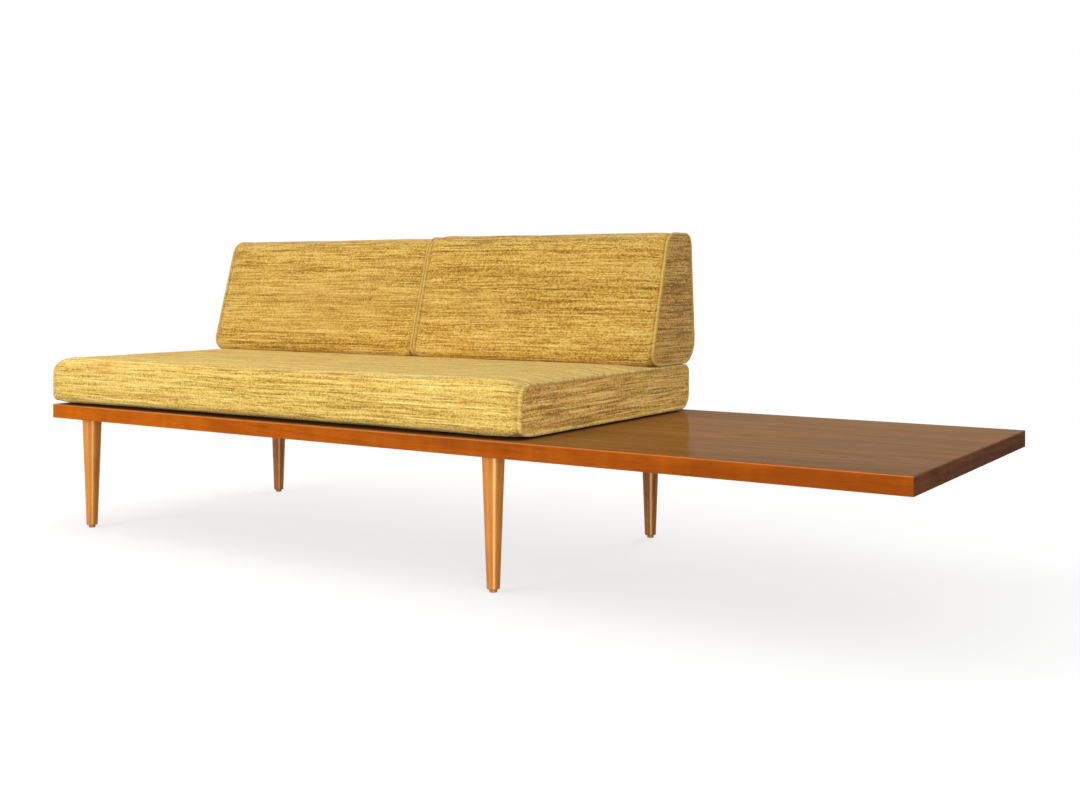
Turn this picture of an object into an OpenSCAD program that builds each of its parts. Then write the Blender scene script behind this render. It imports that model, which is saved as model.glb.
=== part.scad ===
// Platform daybed: a long lacquered platform on four tapered legs. A seat cushion covers
// the left part, two wedge bolsters stand along its rear, and the right part is a table.
// X runs along the platform, -Y is the front, +Z is up, and the floor is at z = 0.

/* [Platform] */
// Length of the platform, from the seat end to the table end
platform_length = 2440; // [2200:10:2800]
// Depth of the platform, from the front edge to the rear edge
platform_depth = 840; // [800:10:950]
// Height of the edge rails, under the veneer
rail_height = 37; // [32:1:50]
// Thickness of the edge rails
rail_width = 20; // [18:1:26]
// Width of the ledge in the rails that the deck panel lies on
deck_ledge = 8; // [5:1:12]
// Thickness of the plywood deck panel
deck_thickness = 18; // [12:1:20]
// Thickness of the veneered top sheet
veneer_thickness = 1; // [0.6:0.1:3]
// Width of the battens under the deck
batten_width = 70; // [50:5:90]
// Distance from the middle of a long batten to the platform's nearest long edge
stiffener_inset = 280; // [220:10:330]
// Length of the loose key in each mitre, across the joint
key_length = 14; // [8:1:14]
// Width of the loose key, along the joint
key_width = 10; // [6:1:10]
// Thickness of the loose key
key_thickness = 4; // [3:0.5:8]

/* [Legs] */
// Length of a wooden leg
leg_length = 300; // [220:5:400]
// Diameter of a leg at the top
leg_top_d = 52; // [40:1:60]
// Diameter of a leg at the foot
leg_foot_d = 30; // [24:1:38]
// Radius of the rounding around the foot
foot_round = 2.5; // [1:0.5:4]
// Distance from the platform's seat end to the middle of the first legs
leg_end_inset = 100; // [90:5:200]
// Distance between the two pairs of legs
leg_pair_spacing = 1380; // [1200:10:1500]
// Diameter of the glide under a leg
glide_d = 18; // [14:1:22]
// Height of the glide under a leg
glide_height = 7; // [4:0.5:12]
// Diameter of the glide's nail
nail_d = 3.2; // [2:0.2:5]
// Length of the glide's nail inside the leg
nail_length = 16; // [10:1:30]

/* [Leg fixings] */
// Side of the square steel plate that takes a leg
plate_size = 62; // [56:1:80]
// Thickness of the steel plate
plate_thickness = 3; // [2:0.5:4]
// Gap between the plate and the edge rail
plate_rail_gap = 3; // [1:1:10]
// Distance between the screws of a plate
screw_spacing = 46; // [40:1:48]
// Wood of the leg block around the plate
block_margin = 20; // [12:1:30]
// Diameter of the hanger bolt
bolt_d = 8; // [6:1:10]
// Length of the hanger bolt inside the leg
bolt_leg_length = 30; // [20:1:50]
// Length of the hanger bolt above the plate's lower face
bolt_block_length = 14; // [8:1:15]
// Diameter of a plate screw's shank
screw_d = 4; // [3:0.5:5]
// Diameter of a plate screw's head
screw_head_d = 7.5; // [6.5:0.5:9]
// Length of a plate screw
screw_length = 16; // [12:1:17]

/* [Seat cushion] */
// Length of the seat cushion
seat_length = 1550; // [1400:10:1800]
// Thickness of the seat cushion
seat_thickness = 125; // [90:5:160]
// Radius of the seat cushion's long edges
seat_round = 24; // [10:1:35]
// Distance from the platform's front edge to the seat cushion
seat_setback = 15; // [5:1:40]
// Distance that the seat cushion stands past the platform's rear edge
seat_overhang = 5; // [0:1:20]
// Distance from the platform's seat end to the seat cushion
seat_end_gap = 2; // [0:1:40]

/* [Bolsters] */
// Length of one bolster
bolster_length = 778; // [700:1:780]
// Gap between the two bolsters
bolster_gap = 2; // [1:0.5:10]
// Height of a bolster
bolster_height = 350; // [300:5:420]
// Depth of a bolster at its base
bolster_base = 260; // [230:5:300]
// Depth of a bolster at its top
bolster_top = 138; // [110:1:160]
// Distance that the bolster's top rear edge leans forward
bolster_lean = 25; // [0:1:40]
// Radius of the bolster's long edges
bolster_round = 24; // [10:1:35]
// Distance that the bolsters stand past the seat cushion's back
bolster_overhang = 40; // [0:1:60]

/* [Covers and zips] */
// Thickness of the fabric cover
cover_thickness = 2; // [1:0.5:4]
// Distance from a cushion's end to its zip
zip_end_inset = 60; // [40:5:120]
// Height of the bolster's zip above its base, measured up the back
bolster_zip_height = 60; // [45:5:120]
// Width of the zip tape
tape_width = 28; // [20:1:34]
// Thickness of the zip tape
tape_thickness = 0.8; // [0.6:0.1:1.5]
// Width of the zip's chain
chain_width = 6; // [4:0.5:8]
// Height of the zip's chain above the tape
chain_height = 2; // [1.5:0.1:3]
// Length of the zip's slider
slider_length = 14; // [10:1:18]
// Thickness of the slider's walls
slider_wall = 1.6; // [1.2:0.1:2.5]
// Diameter of the pin that holds the pull
pin_d = 1.8; // [1.4:0.1:2.5]
// Length of the pull
pull_length = 26; // [18:1:40]
// Width of the pull
pull_width = 9; // [7:0.5:14]
// Thickness of the pull
pull_thickness = 1.6; // [1.2:0.1:2]

/* [Clearances] */
// Gap between a cushion and what it rests on, and between foam and cover
cushion_gap = 0.3; // [0.2:0.05:1]
// Gap around bolts, screws, nails and keys in their holes
fixing_gap = 0.05; // [0.02:0.01:0.2]
// Gap between the zip's slider and its chain and tape
slider_gap = 0.3; // [0.2:0.05:0.5]
// Gap between the pull and its pin
pin_gap = 0.1; // [0.05:0.01:0.2]

/* [Hidden] */
$fn = 64;
arc_steps = 8;
cut = 1; // how far a cutting shape runs past a face

rail_z = glide_height + leg_length;
top_z = rail_z + rail_height + veneer_thickness;
left_x = -platform_length / 2;

deck_rim = rail_width - deck_ledge;
batten_thickness = rail_height - deck_thickness;
lap = batten_thickness / 2;

leg_x = [leg_end_inset, leg_end_inset + leg_pair_spacing];
leg_side_inset = rail_width + plate_rail_gap + plate_size / 2;
leg_y = [leg_side_inset, platform_depth - leg_side_inset];
block_length = plate_size + 2 * block_margin;
block_width = plate_rail_gap + plate_size + block_margin;
glide_round = 1.5;
glide_rim = 0.6 * glide_height;
screw_head_height = (screw_head_d - screw_d) / 2;
screw_tip = screw_d;

// Middle of each cross batten, measured from the seat end: one beside each pair of
// legs, one beyond the second pair, and one in the middle of each open stretch.
beside_leg = (block_length + batten_width) / 2;
batten_1 = leg_x[0] + beside_leg;
batten_3 = leg_x[1] - beside_leg;
batten_4 = leg_x[1] + beside_leg;
batten_2 = (batten_1 + batten_3) / 2;
batten_5 = (batten_4 + platform_length - rail_width) / 2;
batten_x = [batten_1, batten_2, batten_3, batten_4, batten_5];
stiffener_y = [stiffener_inset, platform_depth - stiffener_inset];

chain_lip = 2; // tape beyond each end of the chain
stop_length = 4;
slider_start = chain_lip + stop_length + cut;
chain_top = tape_thickness + chain_height;
slider_roof = chain_top + slider_gap;
slider_width = chain_width + 2 * (slider_gap + slider_wall);
knuckle_r = pin_d / 2 + pin_gap + 1;
pin_height = slider_roof + slider_wall + slider_gap + knuckle_r;
knuckle_width = slider_width / 2;
ear_length = 5;

// The origin is in the middle of the whole depth, from the platform's front edge to the
// bolsters' zip pulls, which stand furthest back.
back_tilt = atan(bolster_lean / bolster_height);
pull_reach = (fixing_gap + pin_height + knuckle_r) * cos(back_tilt)
    - bolster_zip_height * sin(back_tilt);
front_y = -(platform_depth + seat_overhang + bolster_overhang + pull_reach) / 2;

seat_depth = platform_depth - seat_setback + seat_overhang;
seat_x = left_x + seat_end_gap;
seat_y = front_y + seat_setback;
seat_z = top_z + cushion_gap;
seat_outline = [[0, 0], [seat_depth, 0], [seat_depth, seat_thickness], [0, seat_thickness]];

bolster_x = [seat_x, seat_x + bolster_length + bolster_gap];
bolster_y = seat_y + seat_depth + bolster_overhang - bolster_base;
bolster_z = seat_z + seat_thickness + cushion_gap;
bolster_outline = [
    [0, 0],
    [bolster_base, 0],
    [bolster_base - bolster_lean, bolster_height],
    [bolster_base - bolster_lean - bolster_top, bolster_height]
];

fabric = "goldenrod";
foam = "lightyellow";
lacquered_wood = "sienna";
plain_wood = "burlywood";
steel = "silver";
nylon = "dimgray";

// ---- Outlines ----

function unit(v) = v / norm(v);

// Neighbours of corner i, and half of the corner's inner angle
function before(outline, i) = outline[(i + len(outline) - 1) % len(outline)];
function after(outline, i) = outline[(i + 1) % len(outline)];
function half_angle(outline, i) =
    let (u = unit(before(outline, i) - outline[i]), v = unit(after(outline, i) - outline[i]))
    acos(u * v) / 2;
function bisector(outline, i) =
    unit(unit(before(outline, i) - outline[i]) + unit(after(outline, i) - outline[i]));

// A convex outline with every edge moved inwards by d
function inset(outline, d) = [
    for (i = [0:len(outline) - 1])
        outline[i] + bisector(outline, i) * d / sin(half_angle(outline, i))
];

// A convex, anticlockwise outline with every corner rounded to radius r
function rounded(outline, r) = [
    for (i = [0:len(outline) - 1])
        let (
            half = half_angle(outline, i),
            centre = outline[i] + bisector(outline, i) * r / sin(half),
            outwards = outline[i] - centre,
            middle = atan2(outwards[1], outwards[0])
        )
        for (k = [0:arc_steps])
            let (angle = middle + (90 - half) * (2 * k / arc_steps - 1))
            centre + r * [cos(angle), sin(angle)]
];

// ---- Platform ----

module at_platform() translate([left_x, front_y, rail_z]) children();

module board(from, size, colour) color(colour) at_platform() translate(from) cube(size);

// Loose key across a mitre, at the rail's end whose joint runs at the given angle
module mitre_key(angle, gap) {
    translate([0, 0, batten_thickness / 2])
        rotate(angle)
        cube([key_width, key_length, key_thickness] + 2 * [gap, gap, gap], center = true);
}

// One edge rail, mitred at both ends, lying along X with its outer face at y = 0
module mitred_rail(length) {
    middle = rail_width / 2;
    difference() {
        linear_extrude(rail_height)
            polygon([
                [0, 0], [length, 0],
                [length - rail_width, rail_width], [rail_width, rail_width]
            ]);
        translate([deck_rim, deck_rim, batten_thickness])
            cube([length - 2 * deck_rim, rail_width, deck_thickness + cut]);
        translate([middle, middle, 0]) mitre_key(45, fixing_gap);
        translate([length - middle, middle, 0]) mitre_key(-45, fixing_gap);
    }
}

module edge_rail(corner, turn, length) {
    color(lacquered_wood) at_platform() translate(corner) rotate(turn) mitred_rail(length);
}

module mitre_keys() {
    middle = rail_width / 2;
    color(plain_wood) at_platform()
        for (x = [middle, platform_length - middle], y = [middle, platform_depth - middle])
            translate([x, y, 0])
                mitre_key((x == middle) == (y == middle) ? 45 : -45, 0);
}

module top_veneer() {
    board([0, 0, rail_height], [platform_length, platform_depth, veneer_thickness],
        lacquered_wood);
}

module deck_panel() {
    board([deck_rim, deck_rim, batten_thickness],
        [platform_length - 2 * deck_rim, platform_depth - 2 * deck_rim, deck_thickness],
        plain_wood);
}

// A full-length batten, halved from below where the cross battens pass
module stiffener(y) {
    color(plain_wood) at_platform() difference() {
        translate([rail_width, y - batten_width / 2, 0])
            cube([platform_length - 2 * rail_width, batten_width, batten_thickness]);
        for (x = batten_x)
            translate([x - batten_width / 2, y - batten_width / 2 - cut, -cut])
                cube([batten_width, batten_width + 2 * cut, lap + cut]);
    }
}

// A batten across the platform, halved from above where the stiffeners pass
module cross_batten(x) {
    color(plain_wood) at_platform() difference() {
        translate([x - batten_width / 2, rail_width, 0])
            cube([batten_width, platform_depth - 2 * rail_width, batten_thickness]);
        for (y = stiffener_y)
            translate([x - batten_width / 2 - cut, y - batten_width / 2, lap])
                cube([batten_width + 2 * cut, batten_width, batten_thickness]);
    }
}

// ---- Legs and their fixings ----

// Places a child under the platform at leg column i and row j, front or rear
module at_leg(i, j) at_platform() translate([leg_x[i], leg_y[j], 0]) children();

module at_screws() {
    for (x = [-1, 1], y = [-1, 1])
        translate([x, y] * screw_spacing / 2) children();
}

// A countersunk screw, head down at z = 0, grown by gap to make its hole
module screw(gap) {
    shank_r = screw_d / 2 + gap;
    cylinder(h = screw_head_height, r1 = screw_head_d / 2 + gap, r2 = shank_r);
    cylinder(h = screw_length - screw_tip, r = shank_r);
    translate([0, 0, screw_length - screw_tip])
        cylinder(h = screw_tip + gap, r1 = shank_r, r2 = 0.4 + gap);
}

module leg_block(i, j) {
    // the block runs from the edge rail inwards, so it is off the leg's centre
    inner = block_width - plate_rail_gap - plate_size / 2;
    outer = block_width - inner;
    color(plain_wood) at_leg(i, j) mirror([0, j, 0]) difference() {
        translate([-block_length / 2, -outer, 0])
            cube([block_length, block_width, batten_thickness]);
        translate([0, 0, plate_thickness / 2 - cut / 2])
            cube([plate_size + 2 * fixing_gap, plate_size + 2 * fixing_gap,
                plate_thickness + cut], center = true);
        cylinder(h = bolt_block_length + fixing_gap, d = bolt_d + 2 * fixing_gap);
        at_screws() screw(fixing_gap);
    }
}

module leg_plate(i, j) {
    color(steel) at_leg(i, j) difference() {
        translate([0, 0, plate_thickness / 2])
            cube([plate_size, plate_size, plate_thickness], center = true);
        translate([0, 0, -cut])
            cylinder(h = plate_thickness + 2 * cut, d = bolt_d + 2 * fixing_gap);
        at_screws() screw(fixing_gap);
    }
}

module plate_screws() {
    color(steel) for (i = [0, 1], j = [0, 1]) at_leg(i, j) at_screws() screw(0);
}

module hanger_bolts() {
    color(steel) for (i = [0, 1], j = [0, 1])
        at_leg(i, j) translate([0, 0, -bolt_leg_length])
            cylinder(h = bolt_leg_length + bolt_block_length, d = bolt_d);
}

// A turned leg, tapered all the way down, bored for its bolt and its glide's nail
module leg(i, j) {
    top_r = leg_top_d / 2;
    foot_r = leg_foot_d / 2;
    rounding = [
        for (k = [0:arc_steps])
            let (angle = -90 + 90 * k / arc_steps)
            [foot_r - foot_round, foot_round] + foot_round * [cos(angle), sin(angle)]
    ];
    color(lacquered_wood) at_leg(i, j) translate([0, 0, -leg_length]) difference() {
        rotate_extrude()
            polygon(concat([[0, 0]], rounding, [[top_r, leg_length], [0, leg_length]]));
        translate([0, 0, leg_length - bolt_leg_length - fixing_gap])
            cylinder(h = bolt_leg_length + cut, d = bolt_d + 2 * fixing_gap);
        translate([0, 0, -cut])
            cylinder(h = nail_length + fixing_gap + cut, d = nail_d + 2 * fixing_gap);
    }
}

// A nail-on glide: a round foot, its edge rounded where it meets the floor, and its nail
module glide(i, j) {
    r = glide_d / 2;
    rounding = [
        for (k = [0:arc_steps])
            let (angle = -90 + 90 * k / arc_steps)
            [r - glide_round, glide_round] + glide_round * [cos(angle), sin(angle)]
    ];
    color(nylon) at_leg(i, j) translate([0, 0, -leg_length - glide_height]) {
        rotate_extrude()
            polygon(concat([[0, 0]], rounding, [
                [r, glide_rim], [r - glide_round, glide_height], [0, glide_height]
            ]));
        cylinder(h = glide_height + nail_length, d = nail_d);
    }
}

// ---- Cushions ----

// A cushion's cross-section, moved inwards by d, extruded along X
module cushion_body(outline, round, d, length) {
    rotate([90, 0, 90]) linear_extrude(length)
        polygon(rounded(inset(outline, d), round - d));
}

module foam_core(outline, round, length) {
    inside = cover_thickness + cushion_gap;
    color(foam) translate([inside, 0, 0])
        cushion_body(outline, round, inside, length - 2 * inside);
}

// The panel that wraps around the cushion, open at both ends
module cover_wrap(outline, round, length) {
    wrap = length - 2 * cover_thickness;
    color(fabric) translate([cover_thickness, 0, 0]) difference() {
        cushion_body(outline, round, 0, wrap);
        translate([-cut, 0, 0])
            cushion_body(outline, round, cover_thickness, wrap + 2 * cut);
    }
}

module end_panel(outline, round, x) {
    color(fabric) translate([x, 0, 0])
        cushion_body(outline, round, 0, cover_thickness);
}

module at_seat() translate([seat_x, seat_y, seat_z]) children();
module at_bolster(i) translate([bolster_x[i], bolster_y, bolster_z]) children();

// ---- Zips ----
// In a zip's own frame X runs along the chain, +Y points out of the cushion
// and the cushion's surface is at y = 0.

module at_seat_zip() {
    at_seat() translate([zip_end_inset, seat_depth + fixing_gap, seat_thickness / 2])
        children();
}

module at_bolster_zip(i) {
    at_bolster(i) translate([zip_end_inset, bolster_base, 0]) rotate([back_tilt, 0, 0])
        translate([0, fixing_gap, bolster_zip_height]) children();
}

function zip_length(cushion_length) = cushion_length - 2 * zip_end_inset;

// Tape, closed chain and the stop at each end, all sewn into one strip
module zip(length) {
    stop_width = chain_width + 2;
    color("darkgoldenrod") {
        translate([0, 0, -tape_width / 2]) cube([length, tape_thickness, tape_width]);
        translate([chain_lip, 0, -chain_width / 2])
            cube([length - 2 * chain_lip, chain_top, chain_width]);
        for (x = [chain_lip, length - chain_lip - stop_length])
            translate([x, 0, -stop_width / 2]) cube([stop_length, chain_top + 0.5, stop_width]);
    }
}

// The slider's cap over the chain, with two ears and the pin that carries the pull
module zip_slider() {
    middle = slider_start + slider_length / 2;
    ear_top = pin_height + pin_d / 2 + 0.6;
    color(steel) {
        difference() {
            translate([slider_start, tape_thickness + slider_gap, -slider_width / 2])
                cube([slider_length, chain_height + slider_wall, slider_width]);
            translate([slider_start - cut, 0, -chain_width / 2 - slider_gap])
                cube([slider_length + 2 * cut, slider_roof, chain_width + 2 * slider_gap]);
        }
        for (side = [-1, 1])
            translate([middle - ear_length / 2, slider_roof,
                side * (knuckle_width / 2 + slider_gap + slider_wall / 2) - slider_wall / 2])
                cube([ear_length, ear_top - slider_roof, slider_wall]);
        translate([middle, pin_height, -knuckle_width / 2 - slider_gap])
            cylinder(h = knuckle_width + 2 * slider_gap, d = pin_d);
    }
}

// The pull: an eye around the slider's pin and a flat tab
module zip_pull() {
    middle = slider_start + slider_length / 2;
    neck = slider_length / 2;
    color(steel) translate([middle, pin_height, 0]) difference() {
        union() {
            translate([0, 0, -knuckle_width / 2])
                cylinder(h = knuckle_width, r = knuckle_r);
            translate([0, -pull_thickness / 2, -knuckle_width / 2])
                cube([neck, pull_thickness, knuckle_width]);
            translate([neck - cut, -pull_thickness / 2, -pull_width / 2])
                cube([pull_length - neck, pull_thickness, pull_width]);
        }
        translate([0, 0, -knuckle_width / 2 - cut])
            cylinder(h = knuckle_width + 2 * cut, d = pin_d + 2 * pin_gap);
    }
}

// ---- The nodes ----

top_veneer();
deck_panel();
edge_rail([0, 0, 0], 0, platform_length);  // front_rail
edge_rail([platform_length, platform_depth, 0], 180, platform_length);  // rear_rail
edge_rail([0, platform_depth, 0], 270, platform_depth);  // left_rail
edge_rail([platform_length, 0, 0], 90, platform_depth);  // right_rail
mitre_keys();
stiffener(stiffener_y[0]);  // front_stiffener
stiffener(stiffener_y[1]);  // rear_stiffener
for (k = [0:len(batten_x) - 1])
    cross_batten(batten_x[k]);

for (i = [0, 1], j = [0, 1]) {
    corner = str(["front", "rear"][j], "_", ["left", "right"][i]);
    leg_block(i, j);
    leg_plate(i, j);
    leg(i, j);
    glide(i, j);
}
plate_screws();
hanger_bolts();

at_seat() foam_core(seat_outline, seat_round, seat_length);  // seat_foam
at_seat() cover_wrap(seat_outline, seat_round, seat_length);  // seat_cover
at_seat() end_panel(seat_outline, seat_round, 0);  // seat_end_left
at_seat() end_panel(seat_outline, seat_round, seat_length - cover_thickness);  // seat_end_right
at_seat_zip() zip(zip_length(seat_length));  // seat_zip
at_seat_zip() zip_slider();  // seat_zip_slider
at_seat_zip() zip_pull();  // seat_zip_pull

for (i = [0, 1]) {
    name = str(["left", "right"][i], "_bolster_");
    at_bolster(i) foam_core(bolster_outline, bolster_round, bolster_length);
    at_bolster(i) cover_wrap(bolster_outline, bolster_round, bolster_length);
    at_bolster(i) end_panel(bolster_outline, bolster_round, 0);
    at_bolster(i)
            end_panel(bolster_outline, bolster_round, bolster_length - cover_thickness);
    at_bolster_zip(i) zip(zip_length(bolster_length));
    at_bolster_zip(i) zip_slider();
    at_bolster_zip(i) zip_pull();
}
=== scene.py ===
"""Finish and soft pieces of the platform daybed, built around its packed construction.

Metres, +Z up, X along the platform, -Y the front. The wood, the fixings and the zips are the
construction's own nodes. The three cushions, their seams and their thread are made here.
"""

import math

import bpy
import numpy as np
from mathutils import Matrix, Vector, noise


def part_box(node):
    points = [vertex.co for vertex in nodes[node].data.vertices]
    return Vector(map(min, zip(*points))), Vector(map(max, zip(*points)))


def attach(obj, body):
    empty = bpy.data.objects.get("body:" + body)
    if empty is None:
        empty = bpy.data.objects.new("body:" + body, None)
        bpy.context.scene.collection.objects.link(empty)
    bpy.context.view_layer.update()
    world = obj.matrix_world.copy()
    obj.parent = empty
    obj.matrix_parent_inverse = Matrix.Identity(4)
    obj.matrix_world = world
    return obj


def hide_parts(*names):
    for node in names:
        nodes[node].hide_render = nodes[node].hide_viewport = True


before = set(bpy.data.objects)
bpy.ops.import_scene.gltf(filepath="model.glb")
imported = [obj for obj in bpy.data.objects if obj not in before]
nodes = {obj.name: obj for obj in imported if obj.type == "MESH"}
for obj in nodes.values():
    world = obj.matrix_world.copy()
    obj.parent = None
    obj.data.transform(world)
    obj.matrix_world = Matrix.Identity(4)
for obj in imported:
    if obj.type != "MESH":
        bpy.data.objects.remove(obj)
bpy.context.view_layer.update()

# The covers' forms, in the space that the construction gives them
END_SWELL = 0.009          # furthest that an end panel may swell
WRAP_SWELL = 0.0035        # furthest that a wrapped panel may swell
ROLL = 0.042               # length over which a wrapped panel rounds down to its seam
BEAD_RADIUS = 0.0042       # half the width of the ridge that a seam makes
STITCH_SETBACK = 0.0098    # distance from a seam to the row of topstitching beside it
SEAM_DIP = 0.0056          # distance from a seam to the line where the cover is pulled in most
SEAM_PULL = 0.0018         # how deep it is there
STITCH_PULL = 0.0007       # how deep the topstitching pulls the cover in
CORE_GAP = 0.004           # from a foam core to its cover
UNEVEN = 0.0012            # height of a stuffed cover's broad unevenness
PUCKER = 0.0010            # height of the puckers beside a seam
PUCKER_REACH = 0.022       # how far from the seam they fade

# Thread and weave
STITCH_LENGTH = 0.0036
STITCH_PITCH = 0.0052
THREAD = 0.0009
WEFT = 0.0031              # from one weft thread of the tweed to the next
WARP = 0.0040              # from one warp thread to the next
THREAD_RUN = 0.130         # about how long a weft thread keeps its shade
LOT_RUN = 0.700            # about how long a lot of yarn keeps its shade
FURROW = 0.0016            # how far a seam's dark line spreads

# The bolsters' wedge, as the construction has it
BOLSTER_BASE = 0.260
BOLSTER_TOP = 0.138
BOLSTER_LEAN = 0.025       # how far the back leans forward over its height
BOLSTER_OVERHANG = 0.040   # how far the foot stands behind the seat's back

# Cloth simulation
CLOTH_STEPS = 20
CLOTH_PRESSURE = 4.0


# ---------------------------------------------------------------- small helpers

def tone(red, green, blue):
    """A colour given on the usual 0-255 scale, as the linear values that a shader takes."""
    share = (c / 255 for c in (red, green, blue))
    return tuple(c / 12.92 if c <= 0.04045 else ((c + 0.055) / 1.055) ** 2.4 for c in share) + (1.0,)


def dimmed(colour, share):
    """A colour with a share of its light."""
    return tuple(c * share for c in colour[:3]) + (1,)


def put(tree, kind, inputs=None, **settings):
    """Adds a node, applies its settings, and fills or links its inputs."""
    node = tree.nodes.new(kind)
    for name, value in settings.items():
        setattr(node, name, value)
    for key, value in (inputs or {}).items():
        if isinstance(value, bpy.types.NodeSocket):
            tree.links.new(value, node.inputs[key])
        else:
            node.inputs[key].default_value = value
    return node


def calc(tree, operation, first, second=0.0):
    """One step of arithmetic, as a node's output."""
    return put(tree, "ShaderNodeMath", {0: first, 1: second}, operation=operation).outputs[0]


def times(tree, first, second):
    """The product of two values, as a node's output."""
    return calc(tree, "MULTIPLY", first, second)


def plus(tree, first, second):
    """The sum of two values, as a node's output."""
    return calc(tree, "ADD", first, second)


def blend(tree, share, first, second, mode="MIX"):
    """Two colours mixed by share, as a node's output."""
    node = put(tree, "ShaderNodeMix", data_type="RGBA", blend_type=mode)
    for index, value in ((0, share), (6, first), (7, second)):
        if isinstance(value, bpy.types.NodeSocket):
            tree.links.new(value, node.inputs[index])
        else:
            node.inputs[index].default_value = value
    return node.outputs[2]


def ramp(tree, value, *stops):
    """A colour ramp over value; each stop is (place, colour)."""
    node = put(tree, "ShaderNodeValToRGB", {0: value})
    points = node.color_ramp.elements
    while len(points) < len(stops):
        points.new(0.5)
    for point, (place, colour) in zip(points, stops):
        point.position = place
        point.color = colour if hasattr(colour, "__len__") else (colour, colour, colour, 1)
    return node.outputs[0]


def stretched(tree, vector, scale, seed=0.0, detail=2.0, rough=0.5, warp=0.0):
    """Noise over vector, stretched by scale, as a value."""
    placed = put(tree, "ShaderNodeMapping", {"Vector": vector, "Location": (seed, seed * 1.7, seed * 0.6),
                                             "Scale": scale})
    return put(tree, "ShaderNodeTexNoise", {"Vector": placed.outputs[0], "Scale": 1.0, "Detail": detail,
                                            "Roughness": rough, "Distortion": warp}).outputs[0]


def object_place(tree):
    """The place on the object, in metres, as a node's output."""
    return put(tree, "ShaderNodeTexCoord").outputs["Object"]


def by_grain(grain, across, along):
    """The scales of a pattern in wood, across its grain and along it."""
    return [along if axis == grain else across for axis in range(3)]


def material(name):
    """A new material with an empty tree, and that tree."""
    made = bpy.data.materials.new(name)
    made.use_nodes = True
    made.node_tree.nodes.clear()
    return made, made.node_tree


def close(tree, colour, roughness, height=None, depth=0.001, **sockets):
    """The shader and output of a material, with its bump."""
    inputs = {"Base Color": colour, "Roughness": roughness}
    inputs.update({name.replace("_", " "): value for name, value in sockets.items()})
    if height is not None:
        inputs["Normal"] = put(tree, "ShaderNodeBump", {"Height": height, "Distance": depth}).outputs[0]
    shader = put(tree, "ShaderNodeBsdfPrincipled", inputs)
    put(tree, "ShaderNodeOutputMaterial", {"Surface": shader.outputs[0]})


# ---------------------------------------------------------------- finishes

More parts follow.
